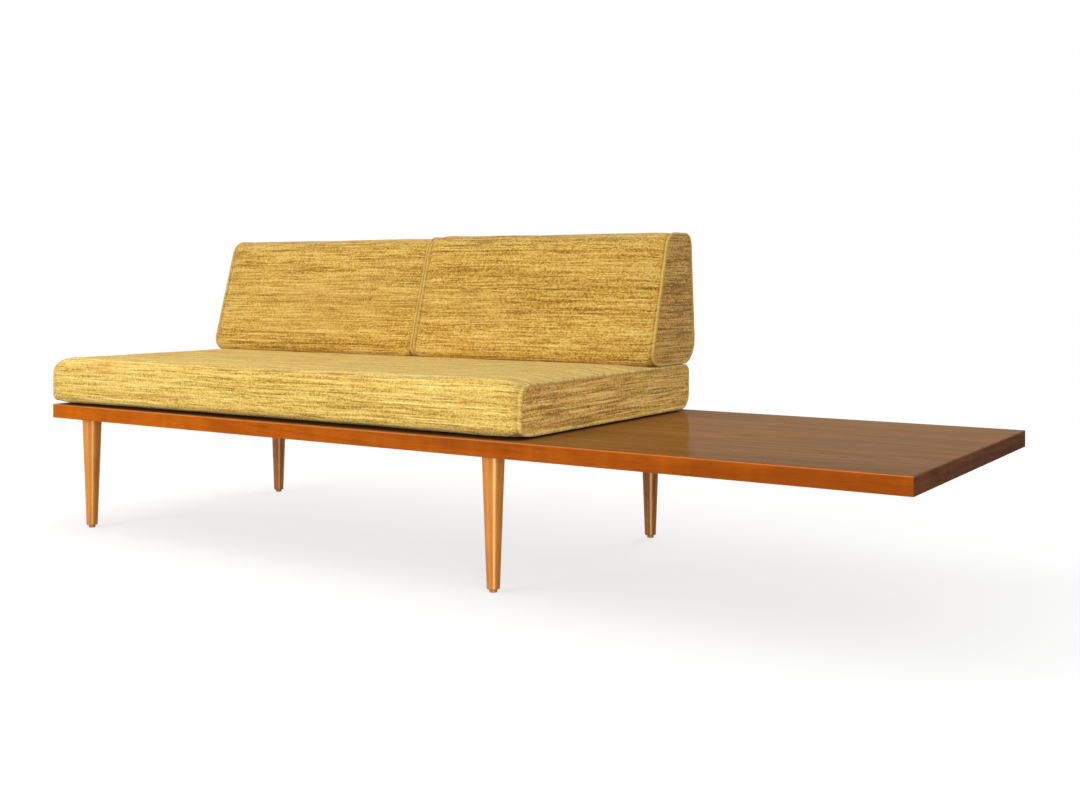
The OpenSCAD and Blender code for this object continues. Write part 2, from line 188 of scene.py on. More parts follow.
def tweed(name, tint_and_shade, contrast, speckle, ridge, groove_shade_share, seed=0.0):
    """Slub tweed. Its weft runs along U of the cover's own map, in metres. Every weft thread has
    its own run of shades, and the tint multiplies them all; the bolsters' deeper tint is painted
    shade. contrast is the strength of those streaks, and speckle that of the crossings. Seam ridges
    are paler by the share ridge, a painted highlight, and the grooves beside them darker by their
    own share, a painted shade. On the end panels the streaks and knots are stronger, painted shade
    of the weave's relief, and the colour more orange, a painted warm bounce of light."""
    made, tree = material(name)
    cloth = put(tree, "ShaderNodeUVMap", uv_map="cloth").outputs[0]
    split = put(tree, "ShaderNodeSeparateXYZ", {0: cloth})
    along, across = split.outputs[0], split.outputs[1]
    seam = put(tree, "ShaderNodeAttribute", attribute_name="seam").outputs[2]
    end = put(tree, "ShaderNodeAttribute", attribute_name="end").outputs[2]

    sway = stretched(tree, cloth, (1.6, 4.0, 1), seed + 1)
    weft = plus(tree, calc(tree, "DIVIDE", across, WEFT), times(tree, sway, 4.0))
    pick = calc(tree, "FLOOR", weft)
    warp = plus(tree, calc(tree, "DIVIDE", along, WARP), times(tree, pick, 0.5))

    def spun(length, start, detail):
        """A run of shades along each thread, each about as long as length."""
        spot = put(tree, "ShaderNodeCombineXYZ", {0: calc(tree, "DIVIDE", along, length),
                                                  1: times(tree, pick, 5.37), 2: seed + start})
        return put(tree, "ShaderNodeTexNoise", {"Vector": spot.outputs[0], "Scale": 1.0,
                                                "Detail": detail, "Roughness": 0.6}).outputs[0]

    shade = spun(THREAD_RUN, 3.0, 2.0)
    lot = spun(LOT_RUN, 11.0, 1.0)
    slub = stretched(tree, cloth, (4.0, 170.0, 1), seed + 2, 2.0, 0.6)
    broad = stretched(tree, cloth, (1.3, 7.0, 1), seed + 5)
    band = stretched(tree, cloth, (1.6, 28.0, 1), seed + 8, 1.0)
    rust = stretched(tree, cloth, (2.5, 100.0, 1), seed + 6, 1.0)
    crossing = put(tree, "ShaderNodeCombineXYZ", {0: calc(tree, "FLOOR", warp), 1: pick})
    speck = put(tree, "ShaderNodeTexWhiteNoise", {"Vector": crossing.outputs[0]},
                noise_dimensions="2D").outputs[0]
    fibre = stretched(tree, cloth, (420.0, 700.0, 1), seed + 4, 2.0, 0.6)
    knots = calc(tree, "SUBTRACT", stretched(tree, cloth, (130.0, 190.0, 1), seed + 7, 1.0), 0.5)

    # Knots show on the end panels only: part of their painted shade of the weave's relief
    streaks, grain = 0.0, times(tree, times(tree, knots, end), 0.3)
    for part, share in ((shade, 1.7), (lot, 0.8), (slub, 0.4), (broad, 0.12), (band, 0.4)):
        part = times(tree, calc(tree, "SUBTRACT", part, 0.5), share * contrast)
        streaks = plus(tree, part, streaks)
    for part, share in ((speck, speckle), (fibre, 0.6)):
        grain = plus(tree, times(tree, calc(tree, "SUBTRACT", part, 0.5), share), grain)
    # Stronger streaks and grain on the end panels: painted shade of the weave's relief under grazing light
    streaks = times(tree, streaks, plus(tree, times(tree, end, 0.5), 1.0))
    grain = times(tree, grain, plus(tree, times(tree, end, 0.35), 1.0))
    level = plus(tree, plus(tree, streaks, grain), 0.5)
    gold = ramp(tree, level, (0.0, tone(130, 94, 24)), (0.25, tone(184, 140, 46)),
                (0.5, tone(226, 185, 88)), (0.75, tone(244, 210, 116)), (1.0, tone(255, 234, 158)))
    gold = blend(tree, ramp(tree, rust, (0.56, 0), (0.72, 0.3)), gold, tone(206, 140, 52))
    gold = blend(tree, ramp(tree, broad, (0.5, 0), (0.72, 0.3)), gold, tone(214, 180, 104))
    # Painted highlight on the seams' ridges, and painted shade in the grooves beside them
    painted_ridge_highlight = times(tree, calc(tree, "MAXIMUM", seam, 0.0), ridge)
    gold = blend(tree, painted_ridge_highlight, gold, tone(244, 212, 126))
    painted_groove_shade = times(tree, calc(tree, "MINIMUM", seam, 0.0), -groove_shade_share)
    gold = blend(tree, painted_groove_shade, gold, tone(112, 78, 26))
    # The end panels are more orange: a painted warm bounce of light from the wood
    gold = blend(tree, end, gold, blend(tree, 1.0, gold, (1.09, 0.965, 0.83, 1.0), mode="MULTIPLY"))
    # The tint: on the bolsters it is deeper and more orange, which is painted shade
    colour = blend(tree, 1.0, gold, (*tint_and_shade, 1.0), mode="MULTIPLY")

    ribs = times(tree, calc(tree, "SINE", times(tree, weft, 2 * math.pi)), 0.16)
    crossings = times(tree, calc(tree, "SINE", times(tree, warp, 2 * math.pi)), 0.09)
    threads = plus(tree, times(tree, speck, 0.3), times(tree, fibre, 0.7))
    height = plus(tree, plus(tree, ribs, crossings), threads)
    close(tree, colour, 0.92, height, 0.0016, Specular_IOR_Level=0.12, Sheen_Weight=0.26,
          Sheen_Roughness=0.5, Sheen_Tint=tone(255, 240, 205))
    return made


def lacquered(name, pale, deep, grain, coat, roughness, seed=0.0, figure=1.0, contrast=1.0, curl=0.0,
              turned=False, drift=(0.0, 0.0, 0.0, 0.0), arris=None, painted_shade_reach=0.0):
    """Clear-lacquered wood. grain is the axis that its fibres follow, 0, 1 or 2. contrast is the
    strength of its figure, and curl that of the soft bands that lie across the grain. The fine
    marks of turned wood draw its shine out along Z. The colour deepens by drift's first three for
    each metre along X, Y and Z, from its last; on the rails and the legs that is painted shade of
    how the light falls. Its edge at the given height is painted pale, a painted highlight on the
    arris. Where something lies close above it, it is painted dark, a painted shade found by an
    occlusion node."""
    made, tree = material(name)
    place = object_place(tree)
    along = by_grain(grain, 1.0, 0.09)
    figured = stretched(tree, place, [c * 7.0 * figure for c in along], seed + 1, 3.0, 0.55, 0.9)
    rings = calc(tree, "SINE", times(tree, figured, 46.0))
    soft = stretched(tree, place, [c * 2.6 for c in along], seed + 2, 2.0)
    fine = stretched(tree, place, by_grain(grain, 130.0, 3.0), seed + 3, 3.0, 0.6)
    pores = stretched(tree, place, by_grain(grain, 620.0, 16.0), seed + 4, 1.0)
    curls = stretched(tree, place, by_grain(grain, 5.0, 22.0), seed + 5, 2.0, 0.5, 0.4)
    share = 0.5 - 0.725 * contrast - 0.5 * curl  # takes off what the four parts add on average
    for part, weight in ((rings, 0.13 * contrast), (soft, 1.1 * contrast),
                         (fine, 0.35 * contrast), (curls, curl)):
        share = plus(tree, times(tree, part, weight), share)
    split = put(tree, "ShaderNodeSeparateXYZ", {0: place}).outputs
    for axis in range(3):
        if drift[axis]:
            share = plus(tree, times(tree, split[axis], drift[axis]), share)
    wood = blend(tree, plus(tree, share, drift[3]), pale, deep)
    # Painted shade: the wood is darkened where an occlusion node finds something close above it, as under
    # the cushions' edges
    if painted_shade_reach:
        occlusion = put(tree, "ShaderNodeAmbientOcclusion", {"Distance": painted_shade_reach})
        occlusion.samples = 16
        wood = blend(tree, ramp(tree, occlusion.outputs["AO"], (0.62, 0.85), (0.8, 0.0)), wood,
                     dimmed(deep, 0.25))
    # Painted highlight: a pale line along the top arris, in place of the shine of its rounding
    if arris:
        below = calc(tree, "SUBTRACT", arris, split[2])
        width = plus(tree, times(tree, soft, 0.005), 0.0002)
        edge = calc(tree, "SUBTRACT", 1.0, calc(tree, "DIVIDE", below, width))
        wear_and_highlight = times(tree, calc(tree, "MAXIMUM", edge, 0.0), 0.75)
        wood = blend(tree, wear_and_highlight, wood, tuple(min(1.0, c * 1.5 + 0.05) for c in pale[:3]) + (1,))
    wood = blend(tree, ramp(tree, pores, (0.3, 0.35 * contrast), (0.42, 0)), wood,
                 dimmed(deep, 0.45))
    shine = {"Specular_IOR_Level": 0.0, "Coat_Weight": coat, "Coat_Roughness": roughness,
             "Coat_IOR": 1.5}
    if turned:
        upright = put(tree, "ShaderNodeCombineXYZ", {2: 1.0}).outputs[0]
        shine = {"Specular_IOR_Level": 0.6, "Specular_Tint": (1.0, 0.76, 0.42, 1.0), "Anisotropic": 0.7,
                 "Tangent": upright}
    close(tree, wood, 0.5 if turned else 0.45, fine, 0.00006, **shine)
    return made


def bare_wood(name, pale, deep, grain, layers=False):
    """Planed wood without lacquer, or plywood with its layers showing on the edges."""
    made, tree = material(name)
    place = object_place(tree)
    fine = stretched(tree, place, by_grain(grain, 90.0, 2.4), 3.1, 4.0, 0.6)
    wide = stretched(tree, place, by_grain(grain, 9.0, 0.8), 7.7, 2.0, 0.5, 0.6)
    wood = blend(tree, ramp(tree, wide, (0.3, 0), (0.7, 1)), pale, deep)
    wood = blend(tree, ramp(tree, fine, (0.35, 0.6), (0.6, 0)), wood, dimmed(deep, 0.6))
    if layers:
        height = put(tree, "ShaderNodeSeparateXYZ", {0: place}).outputs[2]
        two_plies = 0.0036
        plies = calc(tree, "SINE", times(tree, height, 2 * math.pi / two_plies))
        wood = blend(tree, ramp(tree, plies, (0.3, 0.0), (0.7, 0.25)), wood, tone(150, 112, 66))
    close(tree, wood, 0.7, fine, 0.0002, Specular_IOR_Level=0.3)
    return made


def metal(name, colour, wear_and_highlight, roughness, scale=900.0):
    """Plated metal with a fine drawn texture and darker patches."""
    made, tree = material(name)
    place = object_place(tree)
    brushed = stretched(tree, place, (scale * 0.12, scale, scale), 2.0, 2.0)
    patch = stretched(tree, place, (60.0, 60.0, 60.0), 5.0, 3.0)
    face = blend(tree, ramp(tree, patch, (0.4, 0), (0.7, 0.8)), colour, wear_and_highlight)
    shine = plus(tree, times(tree, patch, 0.18), roughness)
    close(tree, face, shine, brushed, 0.00004, Metallic=1.0)
    return made


def moulded(name, colour, roughness):
    """Moulded plastic with a faint texture."""
    made, tree = material(name)
    place = object_place(tree)
    mottle = stretched(tree, place, (300.0, 300.0, 300.0), 1.0, 3.0)
    face = blend(tree, ramp(tree, mottle, (0.35, 0), (0.65, 0.25)), colour, dimmed(colour, 0.6))
    close(tree, face, roughness, mottle, 0.00008, Specular_IOR_Level=0.4)
    return made


def cellular(name):
    """Cream upholstery foam with its open cells."""
    made, tree = material(name)
    place = object_place(tree)
    cells = put(tree, "ShaderNodeTexVoronoi", {"Vector": place, "Scale": 650.0}).outputs[0]
    cloud = stretched(tree, place, (14.0, 14.0, 14.0), 2.0, 3.0)
    face = blend(tree, ramp(tree, cells, (0.1, 0.7), (0.5, 0)), tone(243, 233, 196), tone(196, 180, 132))
    face = blend(tree, ramp(tree, cloud, (0.4, 0), (0.7, 0.4)), face, tone(226, 208, 152))
    close(tree, face, 0.95, cells, 0.0006, Specular_IOR_Level=0.1)
    return made


def woven_tape(name):
    """Herringbone zip tape."""
    made, tree = material(name)
    place = object_place(tree)
    split = put(tree, "ShaderNodeSeparateXYZ", {0: place})
    rib_width, zigzag_height = 0.0016, 0.014
    zigzag = calc(tree, "SINE", times(tree, split.outputs[2], 2 * math.pi / zigzag_height))
    slant = times(tree, calc(tree, "ABSOLUTE", zigzag), 5.0)
    weave = calc(tree, "SINE", plus(tree, times(tree, split.outputs[0], 2 * math.pi / rib_width), slant))
    fuzz = stretched(tree, place, (500.0, 500.0, 500.0), 3.0)
    face = blend(tree, ramp(tree, weave, (0.2, 0), (0.8, 1)), tone(150, 112, 44), tone(184, 146, 70))
    close(tree, face, 0.85, plus(tree, weave, fuzz), 0.0002, Specular_IOR_Level=0.2)
    return made


def sewing_thread(name):
    """Twisted thread in the cover's gold."""
    made, tree = material(name)
    place = object_place(tree)
    twist = stretched(tree, place, (1800.0, 1800.0, 1800.0), 1.0)
    face = blend(tree, ramp(tree, twist, (0.35, 0), (0.65, 1)), tone(186, 146, 62), tone(232, 198, 108))
    close(tree, face, 0.6, twist, 0.0001, Specular_IOR_Level=0.3)
    return made


rail_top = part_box("front_rail")[1][2]
finish = {
    "seat_tweed": tweed("slub tweed, seat", (1.0, 1.03, 1.03), 0.86, 0.34, 0.15, 0.15),
    # The bolsters' deeper, more orange tint is painted shade: their weaker light and the warm light
    # bounced onto them from the seat
    "bolster_tweed": tweed("slub tweed, bolsters in painted shade", (0.77, 0.71, 0.555), 1.0, 0.52, 0.6, 0.35, 40.0),
    # The veneer deepens towards +X, and is painted dark in the shade under the cushions' edges
    "top_lacquer": lacquered("lacquered top veneer", tone(158, 106, 50), tone(122, 82, 37), 0, 0.12, 0.14,
                             seed=3.0, contrast=1.6, drift=(0.45, 0.0, 0.0, -0.28), painted_shade_reach=0.03),
    # The rails deepen towards +X: painted shade of the light falling off to the right
    "edge_lacquer": lacquered("lacquered edge rails", tone(196, 100, 18), tone(150, 72, 16), 0, 0.03, 0.2,
                              seed=11.0, contrast=1.1, curl=0.9, drift=(0.26, 0.0, 0.0, 0.09),
                              arris=rail_top),
    # The end rails are the same wood in a darker copy: painted shade, for faces turned from the light
    "end_lacquer": lacquered("lacquered end rails in painted shade", tone(128, 76, 44), tone(84, 47, 26), 1, 0.05, 0.2,
                             seed=17.0, contrast=1.4, curl=0.6, arris=rail_top),
    # The legs deepen towards the back and towards the feet: painted shade of how the light falls on them
    # under the platform
    "leg_lacquer": lacquered("lacquered legs", tone(216, 134, 46), tone(128, 62, 20), 2, 0.0, 0.13,
                             seed=23.0, figure=2.0, contrast=0.6, curl=0.3, turned=True,
                             drift=(-0.05, 0.55, -0.6, 0.0)),
    "plywood": bare_wood("birch plywood", tone(214, 186, 140), tone(188, 154, 104), 0, layers=True),
    "batten_wood": bare_wood("planed softwood", tone(214, 180, 128), tone(184, 142, 88), 0),
    "cross_wood": bare_wood("planed softwood across", tone(214, 180, 128), tone(184, 142, 88), 1),
    "steel": metal("zinc-plated steel", tone(196, 196, 192), tone(150, 148, 142), 0.3),
    "zip_metal": metal("antique brass", tone(176, 148, 92), tone(110, 88, 48), 0.32),
    "glide_nylon": moulded("brown nylon", tone(176, 118, 70), 0.45),
    "foam": cellular("upholstery foam"),
    "zip_tape": woven_tape("zip tape"),
    "thread": sewing_thread("gold thread"),
}


# ---------------------------------------------------------------- cushion forms

def rounded_section(corners, radii, count, first):
    """An outline through corners (y, z), each rounded by its radius, as count points an equal
    distance apart. It starts at the point nearest to first and runs clockwise seen from +X."""
    corners = [np.array(c, float) for c in corners]
    line = []
    for index, corner in enumerate(corners):
        before, after = corners[index - 1], corners[(index + 1) % len(corners)]
        to_before = (before - corner) / np.linalg.norm(before - corner)
        to_after = (after - corner) / np.linalg.norm(after - corner)
        half = math.acos(to_before @ to_after) / 2
        radius = radii[index]
        inward = (to_before + to_after) / np.linalg.norm(to_before + to_after)
        centre = corner + inward * radius / math.sin(half)
        start = corner + to_before * radius / math.tan(half) - centre
        end = corner + to_after * radius / math.tan(half) - centre
        turn = math.acos(start @ end / radius ** 2)
        for step in np.linspace(0, 1, 25):
            line.append(centre + (math.sin((1 - step) * turn) * start
                                  + math.sin(step * turn) * end) / math.sin(turn))
    closed = np.array(line + line[:1])
    reach = np.concatenate([[0], np.cumsum(np.linalg.norm(np.diff(closed, axis=0), axis=1))])
    fine = np.linspace(0, reach[-1], 20001)
    dense = np.stack([np.interp(fine, reach, closed[:, k]) for k in (0, 1)], 1)
    begin = fine[np.argmin(np.linalg.norm(dense - np.array(first), axis=1))]
    spots = (begin + np.arange(count) * reach[-1] / count) % reach[-1]
    return np.stack([np.interp(spots, reach, closed[:, k]) for k in (0, 1)], 1)


def straight_in(full, centres, corners, radii):
    """The points of a smaller rounded outline that full's points meet on the way to their centres."""
    line = rounded_section(corners, radii, 6000, full[0])
    out = []
    for point, centre in zip(full, centres):
        way = (centre - point) / np.linalg.norm(centre - point)
        apart = line - point
        along = apart @ way
        off = abs(apart[:, 0] * way[1] - apart[:, 1] * way[0])
        out.append(line[np.argmin(off + np.where((along < -0.01) | (along > 0.07), 1.0, 0.0))])
    return np.array(out)


def grid_faces(rows, count):
    """Faces over rows of count points each, closed around, and closed by pairs at both ends."""
    faces = []
    for i in range(rows - 1):
        for j in range(count):
            k = (j + 1) % count
            faces.append((i * count + j, (i + 1) * count + j, (i + 1) * count + k, i * count + k))
    half = count // 2
    for base, turned in ((0, False), ((rows - 1) * count, True)):
        for j in range(half):
            ring = [j, j + 1, count - j - 1, count - j]
            if j == 0:
                ring = [0, 1, count - 1]
            elif j == half - 1:
                ring = [half - 1, half, half + 1]
            ring = [base + r for r in ring]
            faces.append(tuple(reversed(ring)) if turned else tuple(ring))
    return faces


def swell(rest, held):
    """The rest points after a cover of cloth, shaped like them, is blown up by a soft pressure.
    The rows in held are its seams, which the foam's edges keep in place."""
    mesh = bpy.data.meshes.new("swelling")
    mesh.from_pydata(rest.reshape(-1, 3).tolist(), [], grid_faces(*rest.shape[:2]))
    cover = bpy.data.objects.new("swelling", mesh)
    bpy.context.scene.collection.objects.link(cover)
    seams = cover.vertex_groups.new(name="seams")
    for row in held:
        seams.add(list(range(row * rest.shape[1], (row + 1) * rest.shape[1])), 1.0, "REPLACE")
    cloth = cover.modifiers.new("Cloth", "CLOTH")
    settings = cloth.settings
    settings.vertex_group_mass = "seams"
    settings.quality = 6
    settings.mass = 0.35
    settings.tension_stiffness = settings.compression_stiffness = 18
    settings.shear_stiffness = 8
    settings.bending_stiffness = 2.0
    settings.use_pressure = True
    settings.uniform_pressure_force = CLOTH_PRESSURE
    settings.effector_weights.gravity = 0
    cloth.collision_settings.use_collision = False
    cloth.point_cache.frame_start = 1
    cloth.point_cache.frame_end = CLOTH_STEPS
    for step in range(1, CLOTH_STEPS + 1):
        bpy.context.scene.frame_set(step)
    seen = cover.evaluated_get(bpy.context.evaluated_depsgraph_get())
    moved = np.zeros(rest.size)
    seen.data.vertices.foreach_get("co", moved)
    bpy.context.scene.frame_set(1)
    bpy.data.objects.remove(cover)
    bpy.data.meshes.remove(mesh)
    return moved.reshape(rest.shape)


def smooth(value, low, high):
    """0 up to low, 1 from high on, and an even change between them. high may be the lesser."""
    share = np.clip((value - low) / (high - low), 0, 1)
    return share * share * (3 - 2 * share)


def between(rows, place):
    """Points at fractional places among rows, on smooth curves along each column."""
    columns = np.arange(rows.shape[1])
    place = np.broadcast_to(place, rows.shape[1])
    low = np.clip(np.floor(place).astype(int), 0, len(rows) - 2)
    share = (place - low)[:, None]
    one, two = rows[low, columns], rows[low + 1, columns]
    zero = np.where(low[:, None] > 0, rows[np.maximum(low - 1, 0), columns], 2 * one - two)
    last = len(rows) - 1
    three = np.where(low[:, None] + 2 <= last, rows[np.minimum(low + 2, last), columns], 2 * two - one)
    return 0.5 * (2 * one + (two - zero) * share + (2 * zero - 5 * one + 4 * two - three) * share ** 2
                  + (3 * one - 3 * two + three - zero) * share ** 3)


def around_twice(rows):
    """The same rows with a point added between each two, on the curve through its neighbours."""
    back, ahead, far = np.roll(rows, 1, 1), np.roll(rows, -1, 1), np.roll(rows, -2, 1)
    out = np.empty((rows.shape[0], rows.shape[1] * 2, rows.shape[2]))
    out[:, 0::2] = rows
    out[:, 1::2] = (9 * (rows + ahead) - back - far) / 16
    return out


def outward(rows):
    """Outward directions at every point of the rows."""
    out = np.cross(np.gradient(rows, axis=0), np.roll(rows, -1, 1) - np.roll(rows, 1, 1))
    return out / np.maximum(np.linalg.norm(out, axis=-1, keepdims=True), 1e-12)


def section_outward(row):
    """Outward directions of one closed row, square to X."""
    step = np.roll(row, -1, 0) - np.roll(row, 1, 0)
    out = np.stack([np.zeros(len(row)), -step[:, 2], step[:, 1]], 1)
    return out / np.linalg.norm(out, axis=1, keepdims=True)


def bump(distance, centre, width):
    """1 at the centre, and less away from it over a width."""
    return math.exp(-((distance - centre) / width) ** 2)


def dip(distance):
    """How far the cover is pulled in at a distance from its seam, by the seam and its stitches."""
    by_seam = SEAM_PULL * bump(distance, SEAM_DIP, 0.0017)
    by_stitch = STITCH_PULL * bump(distance, STITCH_SETBACK, 0.0013)
    return by_seam + by_stitch


# The finished rows beside a seam: directions around its bead, and distances from it
BEAD_TURNS = [math.radians(a) for a in (-40, -14, 12, 38, 64, 90, 116, 140)]
END_STEPS = [0.0058, 0.0071, 0.0084, STITCH_SETBACK, 0.0112, 0.0128, 0.0155, 0.0195]
WRAP_STEPS = [0.0052, 0.0067, 0.0082, STITCH_SETBACK, 0.0114, 0.0134, 0.0170, 0.0225, 0.0300]
WRAP_CELL = 0.0075         # from one row to the next, away from the seams
MIDDLE_ROW = 0.35          # where an end panel's innermost row lies, in rows from its spine
END_CUT = (4.0, 3.0)       # where on the cloth the end panels are cut from, away from the wraps


class Cover:
    """One cushion's sewn cover: a panel wrapped around X, and a panel at each end.

    It is kept as rows of points from the low end to the high end. A row runs around the section,
    and it starts where the wrapped panel's own edges meet, at the zip or on the underside."""

    def __init__(self, name, low, high, spine, cell, end_rows):
        """low and high are (seam outline, full outline, x of the seam) for the two ends. spine
        gives the points that an end panel's rows close in on, and cell is the wrap's row spacing."""
        self.name, self.low_x, self.high_x = name, low[2], high[2]
        self.depths = np.linalg.norm(low[0] - spine(low[0]), axis=1)
        self.shares = [1 - (k + MIDDLE_ROW) / (end_rows + MIDDLE_ROW) for k in range(end_rows)]
        low_end = [self.row(low[0] + (spine(low[0]) - low[0]) * s, low[2]) for s in self.shares]
        high_end = [self.row(high[0] + (spine(high[0]) - high[0]) * s, high[2])
                    for s in self.shares[::-1]]
        length = high[2] - low[2]
        steps = int(round(length / cell))
        wrap = []
        for along in np.linspace(0, length, steps + 1):
            full = low[1] + (high[1] - low[1]) * along / length
            for seam, edge in ((low[0], along), (high[0], length - along)):
                short = 1 - min(edge / ROLL, 1)
                full = full + (seam - full) * (1 - math.sqrt(1 - short ** 2))
            wrap.append(self.row(full, low[2] + along))
        self.first, self.last = len(low_end), len(low_end) + steps
        self.points = np.array(low_end + wrap + high_end)

    @staticmethod
    def row(outline, x):
        """An outline (y, z) as points at x."""
        return np.column_stack([np.full(len(outline), x), outline])

    def swell(self):
        """Blows the cover up. The further a point would move, the more it is held back."""
        place = np.arange(len(self.points))
        limit = np.where((place < self.first) | (place > self.last), END_SWELL, WRAP_SWELL)[:, None, None]
        shift = swell(self.points, (self.first, self.last)) - self.points
        far = np.maximum(np.linalg.norm(shift, axis=-1, keepdims=True), 1e-9)
        shift *= limit * np.tanh(far / limit) / far
        self.points = self.points + shift

    def sew(self):
        """Makes the finished rows: fine over the seams, each with its ridge and pulled-in lines."""
        rows = around_twice(self.points)
        depths = around_twice(self.depths[None, :, None])[0, :, 0]
        wrap = rows[self.first : self.last + 1]
        length = self.high_x - self.low_x
        unit = length / (len(wrap) - 1)
        low = self.end_and_seam(rows[: self.first + 1], wrap, unit, depths, -1)
        high = self.end_and_seam(rows[self.last :][::-1], wrap[::-1], unit, depths, 1)
        span = length - 2 * WRAP_STEPS[-1]
        spots = np.linspace(WRAP_STEPS[-1], length - WRAP_STEPS[-1], int(span / WRAP_CELL))[1:-1]
        middle = [(between(wrap, spot / unit), "wrap", spot) for spot in spots]
        high = [(row, panel, length - along) for row, panel, along in high[::-1]]
        facts = low + middle + high
        self.points = np.array([f[0] for f in facts])
        self.panels = [f[1] for f in facts]
        self.along = [f[2] for f in facts]

    def end_and_seam(self, end, wrap, unit, depths, way):
        """Rows from the middle of an end panel, over the seam, to the wrapped panel's edge. Each has
        its panel and its distance from the seam, along the cloth of the wrapped panel."""
        axial = np.array([way, 0, 0])
        seam = end[-1]
        normal = section_outward(seam)
        shares = [*self.shares, 0.0]
        order = list(range(len(shares)))[::-1]
        out = []
        clear_of_seam = END_STEPS[-1] + 0.005
        inner = [s for s in self.shares if s * depths.min() > clear_of_seam]
        for a, b in zip(inner, inner[1:] + [None]):
            for share in ([a, (a + b) / 2] if b else [a]):
                place = np.interp(share, shares[::-1], order)
                out.append((between(end, place), "end", 0.0))
        for inset in END_STEPS[::-1]:
            place = np.interp(inset / depths, shares[::-1], order)
            out.append((between(end, place) - axial * dip(inset), "end", 0.0))
        for turn in BEAD_TURNS:
            beside = BEAD_RADIUS * (turn - BEAD_TURNS[-1]) - 0.002
            ridge = BEAD_RADIUS * (math.cos(turn) * axial + math.sin(turn) * normal)
            out.append((seam + ridge, "seam", beside))
        for step in WRAP_STEPS:
            out.append((between(wrap, step / unit) - normal * dip(step), "wrap", step))
        return out

    def ripple(self, seed):
        """Small unevenness of a stuffed cover, with puckers close to its seams."""
        normal = outward(self.points)
        middle = len(self.points) // 2
        for i, row in enumerate(self.points):
            if self.panels[i] == "seam":
                continue
            if self.panels[i] == "end":
                normal[i] = (-1 if i < middle else 1, 0, 0)
            edge = min(self.along[i], self.high_x - self.low_x - self.along[i])
            pucker = PUCKER * math.exp(-edge / PUCKER_REACH) if self.panels[i] == "wrap" else 0.0
            for j, point in enumerate(row):
                broad = noise.noise(Vector(point) * 8.0 + Vector((seed, 3.1, 0)))
                tight = noise.noise(Vector((point[0] * 12 + seed, point[1] * 40, point[2] * 40)))
                row[j] = point + normal[i, j] * (broad * UNEVEN + tight * pucker)

    def build(self, offset, cloth):
        """The cover as an object, with its cloth map in metres. offset parts the maps of covers."""
        total, count = self.points.shape[:2]
        faces = grid_faces(total, count)
        mesh = bpy.data.meshes.new(self.name)
        mesh.from_pydata(self.points.reshape(-1, 3).tolist(), [], faces)
        reach = [min(a, self.high_x - self.low_x - a) for a in self.along]
        self.mark(mesh, "seam", [self.seam_height(p, r) for p, r in zip(self.panels, reach)])
        self.mark(mesh, "end", [p == "end" for p in self.panels])
        mesh.uv_layers.new(name="cloth").data.foreach_set("uv", self.cloth_map(faces, offset))
        mesh.polygons.foreach_set("use_smooth", [True] * len(mesh.polygons))
        mesh.materials.append(cloth)
        return show(self.name, mesh)

    @staticmethod
    def seam_height(panel, reach):
        """1 on a seam's ridge, down to -1 in the furrow beside it, and 0 away from both."""
        if panel == "seam":
            return 1.0
        return -bump(reach, SEAM_DIP, FURROW) if panel == "wrap" else 0.0

    @staticmethod
    def mark(mesh, name, values):
        """A value for each row, given to all the row's points."""
        share = mesh.attributes.new(name, "FLOAT", "POINT")
        each = len(mesh.vertices) // len(values)
        share.data.foreach_set("value", np.repeat(np.array(values, np.float32), each))

    def cloth_map(self, faces, offset):
        """Where the corners of the faces lie on the cloth. U runs along the wrapped panel. V runs
        around it, stretched to the middle row's girth, so that the weft stays straight, and it is 1
        halfway up the front. The end panels are cut from a place of their own."""
        total, count = self.points.shape[:2]
        section = self.points[..., 1:]
        steps = np.linalg.norm(np.roll(section, -1, 1) - section, axis=-1)
        around = np.concatenate([np.zeros((total, 1)), np.cumsum(steps, 1)], 1)
        around *= around[total // 2, -1] / around[:, [-1]]
        behind = section[total // 2, :, 0] > section[..., 0].mean()
        middle = (section[..., 1].min() + section[..., 1].max()) / 2
        apart = abs(section[total // 2, :, 1] - middle) + behind
        around += 1.0 - around[:, [np.argmin(apart)]]
        flat = []
        for face in faces:
            spots = [divmod(v, count) for v in face]
            on_end = any(self.panels[i] == "end" for i, _ in spots)
            last_column = any(j == count - 1 for _, j in spots)
            for i, j in spots:
                if on_end:
                    flat += [self.points[i, j, 1] + END_CUT[0] + offset, self.points[i, j, 2] + END_CUT[1]]
                else:
                    flat += [self.along[i] + offset, around[i, count if last_column and j == 0 else j]]
        return np.array(flat, np.float32)

    def stitched_rows(self):
        """The rows that the four lines of topstitching follow, two at each end."""
        inset = END_STEPS[::-1].index(STITCH_SETBACK)
        ends = [i for i, p in enumerate(self.panels) if p == "end"]
        low = [i for i in ends if i < len(self.panels) // 2][-len(END_STEPS) :][inset]
        high = [i for i in ends if i > len(self.panels) // 2][: len(END_STEPS)][-1 - inset]
        wraps = [i for i, p in enumerate(self.panels) if p == "wrap"]
        order = WRAP_STEPS.index(STITCH_SETBACK)
        return [self.points[i] for i in (low, wraps[order], wraps[-1 - order], high)]


def show(name, mesh):
    """An object for a mesh, in the scene, with its place in its mesh."""
    made = bpy.data.objects.new(name, mesh)
    bpy.context.scene.collection.objects.link(made)
    return made


def foam_core(name, points, gap):
    """A foam core that fills its cover, a gap inside it."""
    rows = points - outward(points) * gap
    mesh = bpy.data.meshes.new(name)
    mesh.from_pydata(rows.reshape(-1, 3).tolist(), [], grid_faces(*rows.shape[:2]))
    mesh.polygons.foreach_set("use_smooth", [True] * len(mesh.polygons))
    mesh.materials.append(finish["foam"])
    return show(name, mesh)


# ---------------------------------------------------------------- what repeats along a path

